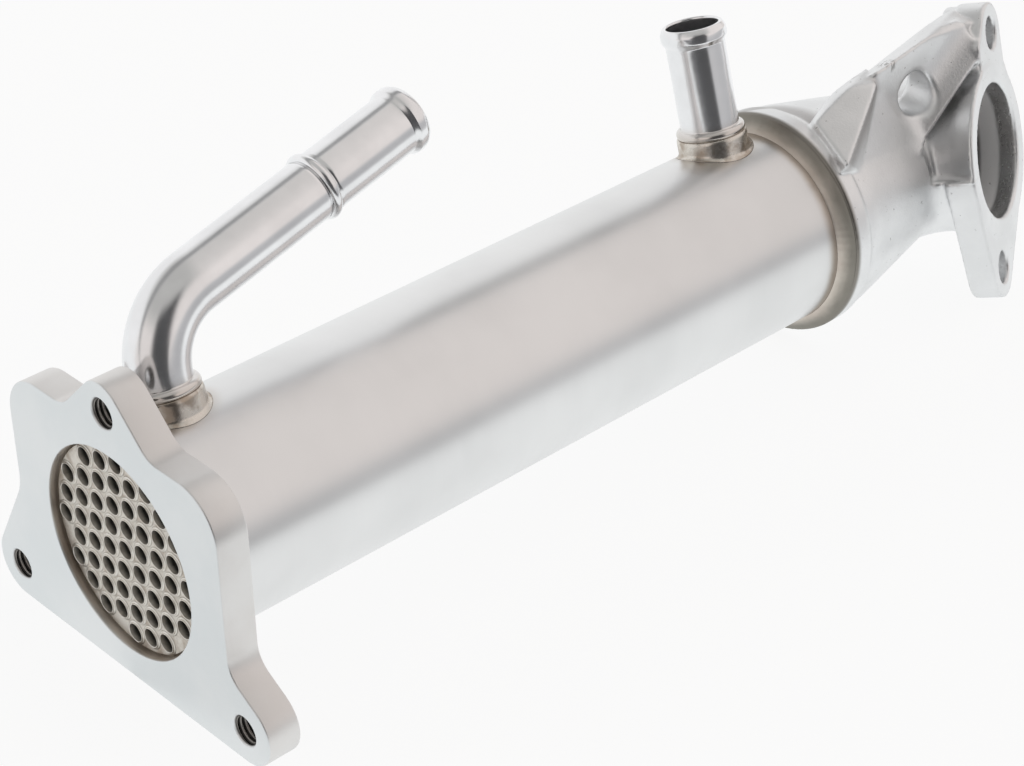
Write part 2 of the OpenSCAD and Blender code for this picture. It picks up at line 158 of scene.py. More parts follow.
class Signal:
    """A value on its way through a material: signs of arithmetic add Math nodes, into adds any other node."""

    def __init__(self, tree, socket=None):
        self.tree, self.socket = tree, socket

    def into(self, kind, settings, inputs, output=0):
        """Adds a node, sets its properties, links or sets its inputs, and gives the signal at one output."""
        node = self.tree.nodes.new("ShaderNode" + kind)
        for name, value in settings.items():
            setattr(node, name, value)
        for name, value in inputs.items():
            if isinstance(value, Signal):
                self.tree.links.new(value.socket, node.inputs[name])
            else:
                node.inputs[name].default_value = value
        return Signal(self.tree, node.outputs[output] if len(node.outputs) else None)

    def maths(self, operation, *values):
        """A Math node, with numbers or signals as its values in order."""
        return self.into("Math", {"operation": operation}, dict(enumerate(values)))

    def __add__(self, other): return self.maths("ADD", self, other)
    def __radd__(self, other): return self.maths("ADD", other, self)
    def __sub__(self, other): return self.maths("SUBTRACT", self, other)
    def __rsub__(self, other): return self.maths("SUBTRACT", other, self)
    def __mul__(self, other): return self.maths("MULTIPLY", self, other)
    def __rmul__(self, other): return self.maths("MULTIPLY", other, self)
    def __pow__(self, other): return self.maths("POWER", self, other)

    def within(self, low, high):
        """0 below low, 1 above high, eased between; low above high turns it round."""
        return self.into("MapRange", {"interpolation_type": "SMOOTHSTEP"}, {0: self, 1: low, 2: high})

    def noise(self, place, size, detail=3.0, rough=0.55):
        """Noise from about 0 to 1 with features of the given size in millimetres."""
        return self.into("TexNoise", {}, {"Vector": place, "Scale": 1000.0 / size,
                                          "Detail": detail, "Roughness": rough})

    def blend(self, low, high):
        """Colour low where this is 0, colour high where it is 1."""
        return self.into("Mix", {"data_type": "RGBA"}, {0: self, 6: low, 7: high}, 2)


def rgb(red, green, blue):
    return (red, green, blue, 1.0)


def new_finish(name):
    """An empty metal finish: the material, its shader node, and signals for the place and its x, y and z in mm."""
    finish = bpy.data.materials.new(name)
    finish.use_nodes = True
    tree = finish.node_tree
    shader = tree.nodes["Principled BSDF"]
    shader.inputs["Metallic"].default_value = 1.0
    place = Signal(tree).into("TexCoord", {}, {}, "Object")
    along = [place.into("SeparateXYZ", {}, {0: place}, i) * 1000.0 for i in range(3)]
    return finish, shader, place, along


def feed(shader, **signals):
    """Links signals to the shader's sockets by name, with _ for a space."""
    for name, signal in signals.items():
        signal.tree.links.new(signal.socket, shader.inputs[name.replace("_", " ")])


def stretched(place, x, y, z):
    """The place with each axis scaled, so that a pattern is drawn out where its scale is small."""
    return place.into("VectorMath", {"operation": "MULTIPLY"}, {0: place, 1: (x, y, z)})


def bumped(place, height, depth):
    """Surface normal bumped by a height signal, whose full swing is depth millimetres."""
    return place.into("Bump", {}, {"Strength": 1.0, "Distance": depth * 0.001, "Height": height})


flange_finish, shader, place, (x, y, z) = new_finish("flange_steel")
radius = (y * y + z * z) ** 0.5
mottle = place.noise(place, 26, 4)
grain = place.noise(place, 0.5, 2)
side = x.within(0.05, 0.4)
plain = mottle.within(0.3, 0.7).blend(rgb(0.74, 0.765, 0.775), rgb(0.80, 0.815, 0.82))
rolled = mottle.within(0.35, 0.65).blend(rgb(0.75, 0.73, 0.715), rgb(0.81, 0.80, 0.79))
worn = side.blend(plain, rolled)
heat = radius.within(28.2, 27.4) * x.within(0.2, 1.0)
tinted = heat.blend(worn, mottle.within(0.35, 0.65).blend(rgb(0.52, 0.46, 0.405), rgb(0.70, 0.655, 0.605)))
# The tapped holes are drawn near black inside, with a lighter grey on the crests of the thread.
from_bolt = [((y - float(b[0])) ** 2 + (z - float(b[1])) ** 2) ** 0.5 for b in flange_bolts]
tap_dark_inside = sum(away.within(tap_mouth_r, tap_mouth_r - 0.2) for away in from_bolt) * x.within(0.1, 0.5)
crest = sum(away.within(tap_r + 0.35, tap_r + 0.1) for away in from_bolt)
feed(shader, Base_Color=tap_dark_inside.blend(tinted, crest.blend(rgb(0.05, 0.047, 0.044), rgb(0.34, 0.32, 0.30))),
     Roughness=0.36 + 0.1 * mottle + 0.06 * grain + 0.2 * heat,
     Normal=bumped(place, grain, 0.012))

offset, depth = soft_edges(flange_thick, flange_edge)
walls = [side_wall(belt(flange_corners, 20), offset, depth)]
# The opening has a rounded lip in front, a wider seat for the shell behind it and a bevel at the back.
turn = np.linspace(0, np.pi / 2, 5)
seat_step = opening_r - seat_r
walls.append(side_wall(
    hole_ring(np.zeros(2), opening_r, 128),
    np.concatenate([lip_edge * (np.sin(turn) - 1), [0, seat_step, seat_step, seat_step - seat_edge]]),
    np.concatenate([lip_edge * (1 - np.cos(turn)),
                    [lip_depth, lip_depth + 0.02, flange_thick - seat_edge, flange_thick]])))
# The thread is a blunt saw wave of the depth less the turn, between the tapping drill and the thread's root.
tap_steps = 48
depth = np.linspace(0, flange_thick, 91)
wave = np.abs((depth[None] / tap_pitch + np.arange(tap_steps)[:, None] / tap_steps) % 1 - 0.5) * 2
thread_r = tap_r + (tap_root_r - tap_r) * np.clip(1.4 * wave - 0.2, 0, 1)
mouth = tap_mouth_r - np.minimum(depth, flange_thick - depth)
for bolt in flange_bolts:
    walls.append(side_wall(hole_ring(bolt, tap_mouth_r, tap_steps), tap_mouth_r - np.maximum(thread_r, mouth), depth))
points, faces, rim = plate(walls)
piece("inlet_flange_plate", points[:, [2, 0, 1]], faces, flange_finish, ["inlet_flange"], rim)

# Inlet tube sheet
# A thin stainless disc with a punched hole for every gas tube. It sits behind the lip of the flange's opening,
# and the braze that holds the tubes has run over it and left it dull and brownish.
sheet_x, sheet_thick, sheet_r, braze_x = 3.05, 1.5, 27.5, 2.45
tube_out, tube_in, tube_pitch, tube_clock = 2.6, 2.35, 6.57, np.radians(17)
field_r, field_clear = 26.5, 0.15
row, column = np.meshgrid(np.arange(1, 10), np.arange(-5, 6), indexing="ij")
across = (column + np.where(row % 2 == 1, 0, 0.5)) * tube_pitch
upward = (row - 5) * tube_pitch * np.sqrt(3) / 2
kept = np.hypot(across, upward) <= field_r - tube_out - field_clear
tube_row = row[kept]
tube_mid = np.stack([across * np.cos(tube_clock) + upward * np.sin(tube_clock),
                     upward * np.cos(tube_clock) - across * np.sin(tube_clock)], 2)[kept]

sheet_finish, shader, place, (x, y, z) = new_finish("header_steel")
run = place.noise(place, 3.5, 4)
speck = place.noise(place, 0.45, 2)
feed(shader, Base_Color=run.within(0.3, 0.6).blend(rgb(0.52, 0.46, 0.395), rgb(0.76, 0.725, 0.67)),
     Roughness=0.42 + 0.25 * speck, Normal=bumped(place, run + 0.4 * speck, 0.12))

ring = 2 * np.pi * np.arange(128) / 128
# The pool of braze in front of the disc stays clear of the flange's lip and runs out thin towards it.
walls = [side_wall(sheet_r * np.stack([np.cos(ring), np.sin(ring)], 1), np.array([-0.85, -0.55, -0.35, -0.3, 0, 0]),
                   np.array([braze_x, braze_x + 0.25, sheet_x - 0.07, sheet_x - 0.05, sheet_x, sheet_x + sheet_thick]))]
for mid in tube_mid:
    walls.append(side_wall(hole_ring(mid, tube_out + 0.05, 24), 0.0, np.array([braze_x, sheet_x + sheet_thick])))
points, faces, rim = plate(walls)
piece("inlet_tube_sheet", points[:, [2, 0, 1]], faces, sheet_finish, ["inlet_header"], rim)

# Gas tubes
# Thin-walled stainless tubes in nine rows, cut square and left standing just proud of the tube sheet.
# Each end has a rolled lip and sits in a small fillet of braze.
tube_first, tube_last, tube_steps = 2.0, 226.5, 20
fillet_out, fillet_up = 0.6, 0.22

tube_finish, shader, place, (x, y, z) = new_finish("tube_steel")
tube_blotch = place.noise(place, 2.2, 3)
# Painted shade: a little way into each tube its colour turns near black, easing to dark grey further in.
inside = (x + 1.2 * tube_blotch).within(2.9, 4.6)
tint = tube_blotch.within(0.3, 0.7).blend(rgb(0.66, 0.62, 0.56), rgb(0.84, 0.81, 0.76))
tube_bore_shade = x.within(3.4, 5.0).blend(rgb(0.05, 0.046, 0.043), rgb(0.26, 0.245, 0.225))
feed(shader, Base_Color=inside.blend(tint, tube_bore_shade),
     Roughness=0.34 + 0.2 * tube_blotch, Normal=bumped(place, tube_blotch, 0.03))


def turned(profile, steps):
    """Ring of a closed half section: profile point j at angle i is (height, radius cos i, radius sin i)."""
    angle = 2 * np.pi * np.arange(steps)[:, None] / steps
    radius, height = profile[None, :, 0], profile[None, :, 1]
    return np.stack([np.broadcast_to(height, (steps, len(profile))),
                     radius * np.cos(angle), radius * np.sin(angle)], 2)


foot = np.linspace(0, np.pi / 2, 4)
lip = np.linspace(0, np.pi, 6)
half = (tube_out - tube_in) / 2
section = np.concatenate([
    np.stack([tube_out + fillet_out * (1 - np.sin(foot)), braze_x - 0.02 - fillet_up * (1 - np.cos(foot))], 1),
    np.stack([tube_in + half + half * np.cos(lip), tube_first + half - half * np.sin(lip)], 1),
    [[tube_in, tube_last], [tube_out, tube_last], [tube_out, braze_x + 0.02]]])
one = turned(section, tube_steps)
for number in range(1, 10):
    mids = tube_mid[tube_row == number]
    points = one[None] + np.concatenate([np.zeros((len(mids), 1)), mids], 1)[:, None, None]
    faces = [quads(tube_steps, len(section), k * tube_steps * len(section), True)[:, ::-1] for k in range(len(mids))]
    piece(f"gas_tubes_{number}", points.reshape(-1, 3), faces, tube_finish, [f"gas_tube_row_{number}"])

# Far tube sheet and baffles
# Plain punched stainless discs deep inside the shell: a second tube sheet at its far end, and two baffles that
# hold the long tubes apart. They are hardly seen, so their solids stay as they are and only take a finish.
inner_finish, shader, place, (x, y, z) = new_finish("inner_sheet_steel")
cloud = place.noise(place, 6, 3)
feed(shader, Base_Color=cloud.within(0.3, 0.7).blend(rgb(0.45, 0.42, 0.38), rgb(0.58, 0.56, 0.53)),
     Roughness=0.35 + 0.2 * cloud)
for node in ("outlet_header", "baffle_1", "baffle_2"):
    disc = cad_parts[node]
    disc.data.materials.clear()
    disc.data.materials.append(inner_finish)

# Shell
# A length of welded and drawn stainless tube, ground to a satin finish round its girth.
# Brazing at the bosses and the weld at the far end have left a straw and brown tint on it.
shell_r, shell_in, shell_first, shell_last = 27.5, 26.5, 4.6, 226.5
shell_steps, length_steps, drill_steps = 256, 90, 48
port_lean = np.radians(15.5)
port_up = np.array([0, np.sin(port_lean), np.cos(port_lean)])
port_side = np.array([0, np.cos(port_lean), -np.sin(port_lean)])
bent_x, stub_x, port_r = 22.4, 206.0, 6.7
weld_x = 217.85

shell_finish, shader, place, (x, y, z) = new_finish("shell_steel")
girth = place.noise(stretched(place, 1.0, 0.06, 0.06), 1.1, 3)
cloud = place.noise(place, 40, 3)
plain = cloud.within(0.3, 0.7).blend(rgb(0.735, 0.735, 0.735), rgb(0.80, 0.80, 0.80))
near_weld = (x + 2 * cloud).within(weld_x - 3.2, weld_x + 1.2) * (0.5 + 0.6 * place.noise(place, 7, 3))
lean = y * float(port_side[1]) + z * float(port_side[2])
from_port = [((x - port_x) ** 2 + lean * lean) ** 0.5 for port_x in (bent_x, stub_x)]
upper = z.within(0, 8)
warm = near_weld + upper * sum(away.within(15, 9.5) for away in from_port) * 0.5
feed(shader, Base_Color=warm.within(0, 1).blend(plain, rgb(0.49, 0.425, 0.365)),
     Roughness=0.24 + 0.08 * girth + 0.05 * cloud, Normal=bumped(place, girth, 0.006))

angle = 2 * np.pi * np.arange(shell_steps)[:, None] / shell_steps
height = np.concatenate([np.linspace(shell_first, shell_last, length_steps),
                         np.linspace(shell_last, shell_first, length_steps)])
wall_r = np.repeat([shell_r, shell_in], length_steps)
points = np.stack([np.broadcast_to(height, (shell_steps, len(height))),
                   wall_r * np.cos(angle), wall_r * np.sin(angle)], 2)
shell = piece("shell_tube", points.reshape(-1, 3), [quads(shell_steps, len(height), 0, True)[:, ::-1]], shell_finish,
              ["shell"])
# Two drills cut the coolant ports through the wall, under the bosses.
for port_x in (bent_x, stub_x):
    angle = 2 * np.pi * np.arange(drill_steps) / drill_steps
    ring = np.array([port_x, 0, 0]) + port_r * (np.cos(angle)[:, None] * np.array([1, 0, 0])
                                               + np.sin(angle)[:, None] * port_side)
    mesh = bpy.data.meshes.new("port_drill")
    bottom = np.arange(drill_steps)
    ahead = np.roll(bottom, -1)
    sides = np.stack([bottom, ahead, drill_steps + ahead, drill_steps + bottom], 1)
    mesh.from_pydata(np.concatenate([ring + 10 * port_up, ring + 40 * port_up]) * 0.001, [],
                     [bottom[::-1].tolist(), (drill_steps + bottom).tolist()] + sides.tolist())
    drill = bpy.data.objects.new("port_drill", mesh)
    bpy.context.scene.collection.objects.link(drill)
    cut = shell.modifiers.new("port", "BOOLEAN")
    cut.operation, cut.solver, cut.object = "DIFFERENCE", "EXACT", drill
    cut_mesh = bpy.data.meshes.new_from_object(shell.evaluated_get(bpy.context.evaluated_depsgraph_get()))
    shell.modifiers.clear()
    shell.data = cut_mesh
    bpy.data.objects.remove(drill)
shell.data.set_sharp_from_angle(angle=np.radians(35))

# Bosses
# Turned steel rings, saddled to sit on the shell round its two ports and brazed there.
# The braze stands as a hollow fillet at the foot, and the heat has turned ring and fillet brown.
boss_r, boss_top, socket_r, socket_floor, boss_fillet = 9.6, 31.2, 8.05, 28.3, 1.1
boss_steps = 96

boss_finish, shader, place, (x, y, z) = new_finish("brazed_steel")
run = place.noise(place, 5, 4)
speck = place.noise(place, 0.5, 2)
feed(shader, Base_Color=run.within(0.35, 0.6).blend(rgb(0.40, 0.335, 0.275), rgb(0.70, 0.66, 0.605)),
     Roughness=0.18 + 0.16 * run, Normal=bumped(place, run + 0.3 * speck, 0.05))


def saddle_ring(port_x, radius, height, riding):
    """Ring round a port: step j at angle i is radius j out from the port's axis and height j up it.

    Where riding j is 1, height j is counted from the shell, whose height there is sqrt(R^2 - (radius sin i)^2).
    """
    angle = 2 * np.pi * np.arange(boss_steps)[:, None] / boss_steps
    on_shell = np.sqrt(seat_r ** 2 - (radius * np.sin(angle)) ** 2)
    up = np.where(riding > 0, on_shell + height, height)
    return (np.array([port_x, 0, 0]) + (radius * np.cos(angle))[..., None] * np.array([1, 0, 0])
            + (radius * np.sin(angle))[..., None] * port_side + up[..., None] * port_up)


foot = np.linspace(0, np.pi / 2, 7)
# The braze has also run up from the edge of the ring into the groove under the pipe's seat bead.
edge = np.linspace(0, 1, 5)
groove = [[9.0, 31.58, 0], [8.8, 31.42, 0], [8.5, 31.26, 0]]
pipe_seat = [[socket_r + 0.2, boss_top, 0], [socket_r, boss_top - 0.2, 0], [socket_r, socket_floor, 0],
             [port_r, socket_floor, 0], [port_r, 0, 1]]
boss_section = np.concatenate([
    np.stack([boss_r + boss_fillet * (1 - np.sin(foot)), boss_fillet * (1 - np.cos(foot)), np.ones(7)], 1),
    np.stack([boss_r - 0.4 * edge ** 2, boss_top - 0.5 + 1.14 * edge, np.zeros(5)], 1), groove, pipe_seat])
for name, port_x in (("bent_pipe", bent_x), ("straight_stub", stub_x)):
    points = saddle_ring(port_x, *boss_section.T)
    piece(f"{name}_boss_ring", points.reshape(-1, 3), [quads(boss_steps, len(boss_section), 0, True)], boss_finish,
          [f"{name}_boss"])

# Coolant pipes
# Bright drawn stainless tube. Rolled beads seat each pipe on its boss, stop the hose and keep it on;
# one pipe is bent towards the far end, the other is a short straight stub.
pipe_r, pipe_in, pipe_root, pipe_steps = 8.0, 7.0, 28.35, 80
seat_bead, stop_bead, bead_round = (32.65, 9.4), (40.1, 9.0), 1.4
stub_top, bend_from, bend_radius, bend_turn, run_long = 62.2, 34.25, 19.4, np.radians(76.6), 72.3

pipe_finish, shader, place, (x, y, z) = new_finish("pipe_steel")
cloud = place.noise(place, 12, 3)
draw = place.noise(stretched(place, 0.25, 1.0, 1.0), 0.9, 2)
foot_tint = ((y * float(port_up[1]) + z * float(port_up[2])).within(36.5, 31.5)) * 0.7
feed(shader, Base_Color=foot_tint.blend(cloud.within(0.3, 0.7).blend(rgb(0.80, 0.80, 0.81), rgb(0.87, 0.87, 0.88)),
                                        rgb(0.50, 0.43, 0.36)),
     Roughness=0.15 + 0.08 * draw, Normal=bumped(place, draw, 0.004))


def rounded(profile, times=3):
    """Cuts the corners of an open profile: each side is replaced by the points at its quarter and three quarters."""
    for _ in range(times):
        cut = np.stack([0.75 * profile[:-1] + 0.25 * profile[1:], 0.25 * profile[:-1] + 0.75 * profile[1:]], 1)
        profile = np.concatenate([profile[:1], cut.reshape(-1, profile.shape[1]), profile[-1:]])
    return profile


def bead(place_on, top_r, root=0.35):
    """A rolled bead: a half round on the tube with a small hollow at both feet, as radius and place."""
    swing = np.linspace(0, np.pi, 13)
    return np.concatenate([
        [[pipe_r, place_on - bead_round - root]],
        np.stack([top_r - bead_round + bead_round * np.sin(swing), place_on - bead_round * np.cos(swing)], 1),
        [[pipe_r, place_on + bead_round + root]]])


def hose_end(top):
    """The hose bead, the rolled rim and the way back down inside, as radius and place."""
    return rounded(np.array([
        [pipe_r, top - 9], [pipe_r, top - 5.2], [pipe_r + 0.1, top - 4.9], [8.85, top - 3.8], [8.95, top - 3.4],
        [8.95, top - 1.8], [8.8, top - 1.3], [8.2, top - 0.25], [7.9, top], [7.3, top], [7.05, top - 0.3],
        [pipe_in, top - 0.8], [pipe_in, top - 6]]))


def pipe_walls(section, path):
    """Section carried along a path: step j at angle i is path j + radius j (cos i side + sin i other j)."""
    angle = 2 * np.pi * np.arange(pipe_steps)[:, None, None] / pipe_steps
    centre, other = path(section[:, 1])
    radius = section[None, :, :1]
    return centre + radius * (np.cos(angle) * port_side + np.sin(angle) * other)


def stub_path(height):
    """Straight up the port: the centre at each height, and the direction across, which is the shell's axis."""
    return (np.array([stub_x, 0, 0]) + height[:, None] * port_up,
            np.broadcast_to(np.array([1.0, 0, 0]), (len(height), 3)))


def bent_path(length):
    """Up the port to the bend, round it at the bend's radius, then straight on: centre and direction across."""
    bend_long = bend_radius * bend_turn
    turn = np.clip((length - bend_from) / bend_radius, 0, bend_turn)[:, None]
    ahead = np.array([1.0, 0, 0])
    straight = np.minimum(length, bend_from)[:, None]
    on = np.maximum(length - bend_from - bend_long, 0)[:, None]
    heading = np.cos(turn) * port_up + np.sin(turn) * ahead
    centre = (np.array([bent_x, 0, 0]) + straight * port_up
              + bend_radius * ((1 - np.cos(turn)) * ahead + np.sin(turn) * port_up) + on * heading)
    return centre, np.cos(turn) * ahead - np.sin(turn) * port_up


def resampled(section, spacing):
    """Adds points along a section so that no step is longer than spacing."""
    step = np.linalg.norm(np.diff(section, axis=0), axis=1)
    count = np.maximum(np.ceil(step / spacing).astype(int), 1)
    at = np.concatenate([k + np.arange(n) / n for k, n in enumerate(count)] + [[len(step)]])
    return np.stack([np.interp(at, np.arange(len(section)), section[:, c]) for c in range(2)], 1)


stub_section = resampled(np.concatenate([
    [[pipe_r, pipe_root]], bead(*seat_bead), hose_end(stub_top), [[pipe_in, pipe_root]]]), 1.5)
bend_end = bend_from + bend_radius * bend_turn
bent_section = resampled(np.concatenate([
    [[pipe_r, pipe_root]], bead(*seat_bead), bead(bend_end + stop_bead[0], stop_bead[1]),
    hose_end(bend_end + run_long), [[pipe_in, pipe_root]]]), 0.9)
for name, node, section, path in (("straight_stub_tube", "straight_coolant_stub", stub_section, stub_path),
                                  ("bent_pipe_tube", "bent_coolant_pipe", bent_section, bent_path)):
    points = pipe_walls(section, path)
    piece(name, points.reshape(-1, 3), [quads(pipe_steps, len(section), 0, True)], pipe_finish, [node])

# Outlet weld
# A fillet weld run by machine between shell and casting: a slightly domed bead with fine even ripples,
# tinted straw, brown and grey by its own heat, and drawn darker towards the collar as painted shade.
weld_leg, weld_last = 3.6, 221.45

weld_finish, shader, place, (x, y, z) = new_finish("weld_bead")
streak = place.noise(stretched(place, 1.0, 0.25, 0.25), 1.6, 3)
cloud = place.noise(place, 9, 3)
# Painted shade: towards the collar the bead's colour turns dark, as the shade in the corner between weld and collar.
collar_corner_shade = (x + 0.8 * streak).within(weld_x + 0.9, weld_last)
warm = cloud.within(0.3, 0.7).blend(rgb(0.60, 0.53, 0.47), rgb(0.70, 0.645, 0.58))
feed(shader, Base_Color=collar_corner_shade.blend(warm, rgb(0.27, 0.255, 0.225)),
     Roughness=0.34 + 0.24 * streak, Normal=bumped(place, streak, 0.1))

turns = 540
around = 2 * np.pi * np.arange(turns)[:, None] / turns
sweep = np.linspace(0, np.pi / 2, 11)[None]
ripple = 0.022 * np.sin(90 * around - 2.2 * np.cos(sweep) + 0.9 * np.sin(7 * around)) * np.sin(2 * sweep)
reach = weld_leg * (0.97 + 0.015 * np.sin(5 * around) + 0.01 * np.sin(13 * around + 1)) + ripple
bulge = np.abs(np.cos(sweep)) ** 2.2, np.abs(np.sin(sweep)) ** 2.2
weld_radius = np.concatenate([seat_r + 1.14 * reach * bulge[0], np.full((turns, 1), seat_r)], 1)
weld_along = np.concatenate([weld_last - 0.85 * reach * bulge[1], np.full((turns, 1), weld_last)], 1)
points = np.stack([weld_along, weld_radius * np.cos(around), weld_radius * np.sin(around)], 2)
columns = points.shape[1]
rim = np.broadcast_to(np.isin(np.arange(columns), (0, columns - 2, columns - 1)), (turns, columns)).ravel()
piece("outlet_weld_bead", points.reshape(-1, 3), [quads(turns, columns, 0, True)], weld_finish,
      ["outlet_weld"], rim)

# Outlet elbow
# An investment casting in stainless steel: collar, cone, neck and a two-bolt flange in one piece, with a web,
# a wedge and a rib between them. It is blasted to a fine grain; the outlet face, bore and holes are machined.
collar_r, collar_mid, collar_half, socket_end = 31.8, 224.5, 3.0, 226.55
cone_x, cone_r, cone_fall, cone_top_r, cone_first, cone_last = 229.0, 31.5, 0.22, 31.6, 222.5, 277.0
ball_r, neck_r, neck_fall, neck_long = 22.1, 24.4, 0.15, 28.5
way_first, way_r, way_fall, way_ball_r, way_neck_r, way_wall = 226.5, 26.0, 7.45 / 51.9, 19.45, 18.55, 2.2
corner = np.array([278.4, 0, 0])
outlet_turn = np.radians(67)
outlet_out = np.cos(outlet_turn) * np.array([1.0, 0, 0]) - np.sin(outlet_turn) * port_side
outlet_across = np.sin(outlet_turn) * np.array([1.0, 0, 0]) + np.cos(outlet_turn) * port_side
outlet_face = corner + neck_long * outlet_out
lobe = np.array([8.90, 32.09])
outlet_thick, bore_r, bore_long = 8.5, 19.15, 13.0
bolt_hole_r, bolt_hole_long, bolt_boss_r = 4.65, 13.5, 8.1
outlet_corners = np.array([[*lobe, 8.7, 1], [0, 0, 25, 1], [*-lobe, 8.7, 1], [0, 0, 25, 1], [21, 22.3, 3.5, -1]])
wedge_foot = (224.5, -23.9, 26.2)
web_hole_x, web_hole_z, web_hole_r = 265.2, 29.3, 6.0
parting_v = -0.8


def least(a, b, k):
    """Smooth minimum: the lower of two distances, with a fillet of about size k where they meet."""
    h = np.clip(0.5 + 0.5 * (b - a) / k, 0, 1)
    return b + (a - b) * h - k * h * (1 - h)


def most(a, b, k):
    """Smooth maximum: the higher of two distances, with an edge rounded by about k."""
    return -least(-a, -b, k)


def hull_sides(corners):
    """Planes of the convex hull of a few corners: every plane through three corners with the rest on one side."""
    i, j, k = (g.ravel() for g in np.meshgrid(*[np.arange(len(corners))] * 3, indexing="ij"))
    keep = (i < j) & (j < k)
    a, b, c = corners[i[keep]], corners[j[keep]], corners[k[keep]]
    normal = np.cross(b - a, c - a)
    area = np.linalg.norm(normal, axis=1, keepdims=True)
    apart = area[:, 0] > 1e-6
    a, normal = a[apart], normal[apart] / area[apart]
    gap = normal @ corners.T - (normal * a).sum(1)[:, None]
    normal = np.concatenate([normal[gap.max(1) < 1e-6], -normal[gap.min(1) > -1e-6]])
    level = (normal @ corners.T).max(1)
    return np.unique(np.round(np.concatenate([normal, level[:, None]], 1), 6), axis=0)


def block(points, corners, grow, soft):
    """Distance outside a convex block: a soft maximum over its hull's planes, grown outwards."""
    sides = hull_sides(np.array(corners, float))
    gap = points @ sides[:, :3].T - sides[:, 3]
    top = gap.max(1)
    return top + soft * np.log(np.exp((gap - top[:, None]) / soft).sum(1)) - grow


# Signed distance of the flange's outline on a fine table, read back between its points.
outline = belt(outlet_corners, 24)
table_step, table_low, table_size = 0.4, np.array([-40.0, -50.0]), (200, 250)
table_u, table_v = np.meshgrid(*[np.arange(n) * table_step + low for n, low in zip(table_size, table_low)],
                               indexing="ij")
side = np.roll(outline, -1, 0) - outline
apart = np.linalg.norm(side, axis=1) > 1e-9
begin, side = outline[apart], side[apart]
du, dv = table_u[..., None] - begin[:, 0], table_v[..., None] - begin[:, 1]
share = np.clip((du * side[:, 0] + dv * side[:, 1]) / (side ** 2).sum(1), 0, 1)
outline_gap = np.sqrt(((du - share * side[:, 0]) ** 2 + (dv - share * side[:, 1]) ** 2).min(2))
above = (begin[:, 1] > table_v[..., None]) != (begin[:, 1] + side[:, 1] > table_v[..., None])
crossing = begin[:, 0] + side[:, 0] * dv / np.where(side[:, 1] == 0, 1e-12, side[:, 1])
outline_gap *= np.where((above & (table_u[..., None] < crossing)).sum(2) % 2 == 1, -1, 1)


def flange_gap(u, v):
    """Signed distance of the flange's outline, read from the table by weighing its four nearest points."""
    a, b = (u - table_low[0]) / table_step, (v - table_low[1]) / table_step
    a, b = np.clip(a, 0, table_size[0] - 1.001), np.clip(b, 0, table_size[1] - 1.001)
    i, j = a.astype(int), b.astype(int)
    a, b = a - i, b - j
    return ((1 - a) * ((1 - b) * outline_gap[i, j] + b * outline_gap[i, j + 1])
            + a * ((1 - b) * outline_gap[i + 1, j] + b * outline_gap[i + 1, j + 1]))


